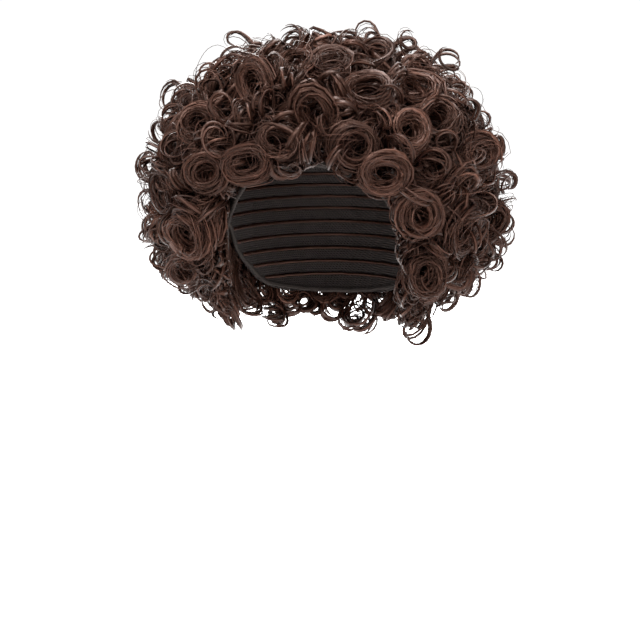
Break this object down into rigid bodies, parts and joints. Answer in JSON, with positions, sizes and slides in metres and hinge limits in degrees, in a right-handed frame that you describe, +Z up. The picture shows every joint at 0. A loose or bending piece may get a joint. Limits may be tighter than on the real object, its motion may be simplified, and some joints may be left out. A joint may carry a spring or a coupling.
{
  "type": "short curly wig",
  "caption": "Short rounded wig of dark brown ringlets on a thin hollow cap, open at the face and neck, worn on a head.",
  "frame": {"origin": "inside of the cap at the crown, where the wig sits on the top of the head", "axes": "+Z up along the head, the face looks along -Y, and +X is the wearer's left"},
  "size_m": [0.2844, 0.2736, 0.2495],
  "materials": {
    "cap": "matt stretch cloth",
    "hair": "satin curled fibre"
  },
  "bodies": {
    "root": {"cap": "cap", "fringe_curls": "hair", "crown_curls": "hair", "left_side_curls": "hair", "right_side_curls": "hair", "back_curls": "hair", "nape_curls": "hair"}
  },
  "joints": []
}
